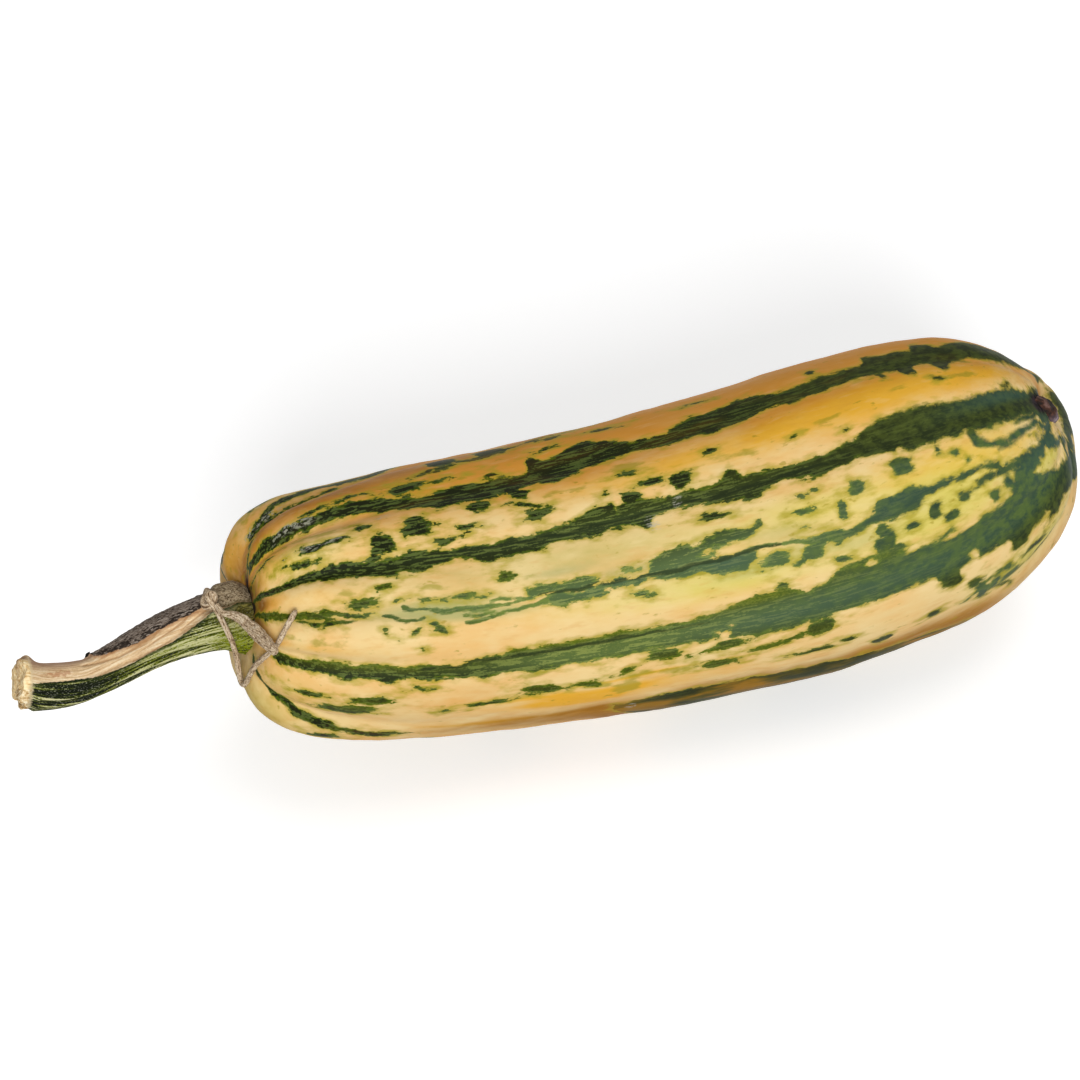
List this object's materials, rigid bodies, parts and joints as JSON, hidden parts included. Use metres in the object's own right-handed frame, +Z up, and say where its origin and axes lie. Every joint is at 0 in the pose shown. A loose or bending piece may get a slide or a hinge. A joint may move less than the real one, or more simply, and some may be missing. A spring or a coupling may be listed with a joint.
{
  "type": "delicata squash",
  "caption": "Long ribbed winter squash, cream and orange with dark green stripes and flecks, with a cut stem and dried bits of vine, lying on its side.",
  "frame": {"origin": "middle of the flat spot that the fruit lies on, at floor level", "axes": "+X from the stem end to the blossom end, +Z up, -Y to the side that shows both ends"},
  "size_m": [0.2912, 0.0823, 0.0841],
  "materials": {
    "rind": "satin",
    "stem_skin": "matt",
    "dry_vine": "matt",
    "scar_cork": "matt"
  },
  "bodies": {
    "root": {"squash_fruit": "rind", "stem": "stem_skin", "dried_tendril": "dry_vine", "withered_stalk": "dry_vine", "blossom_scar": "scar_cork"}
  },
  "joints": []
}
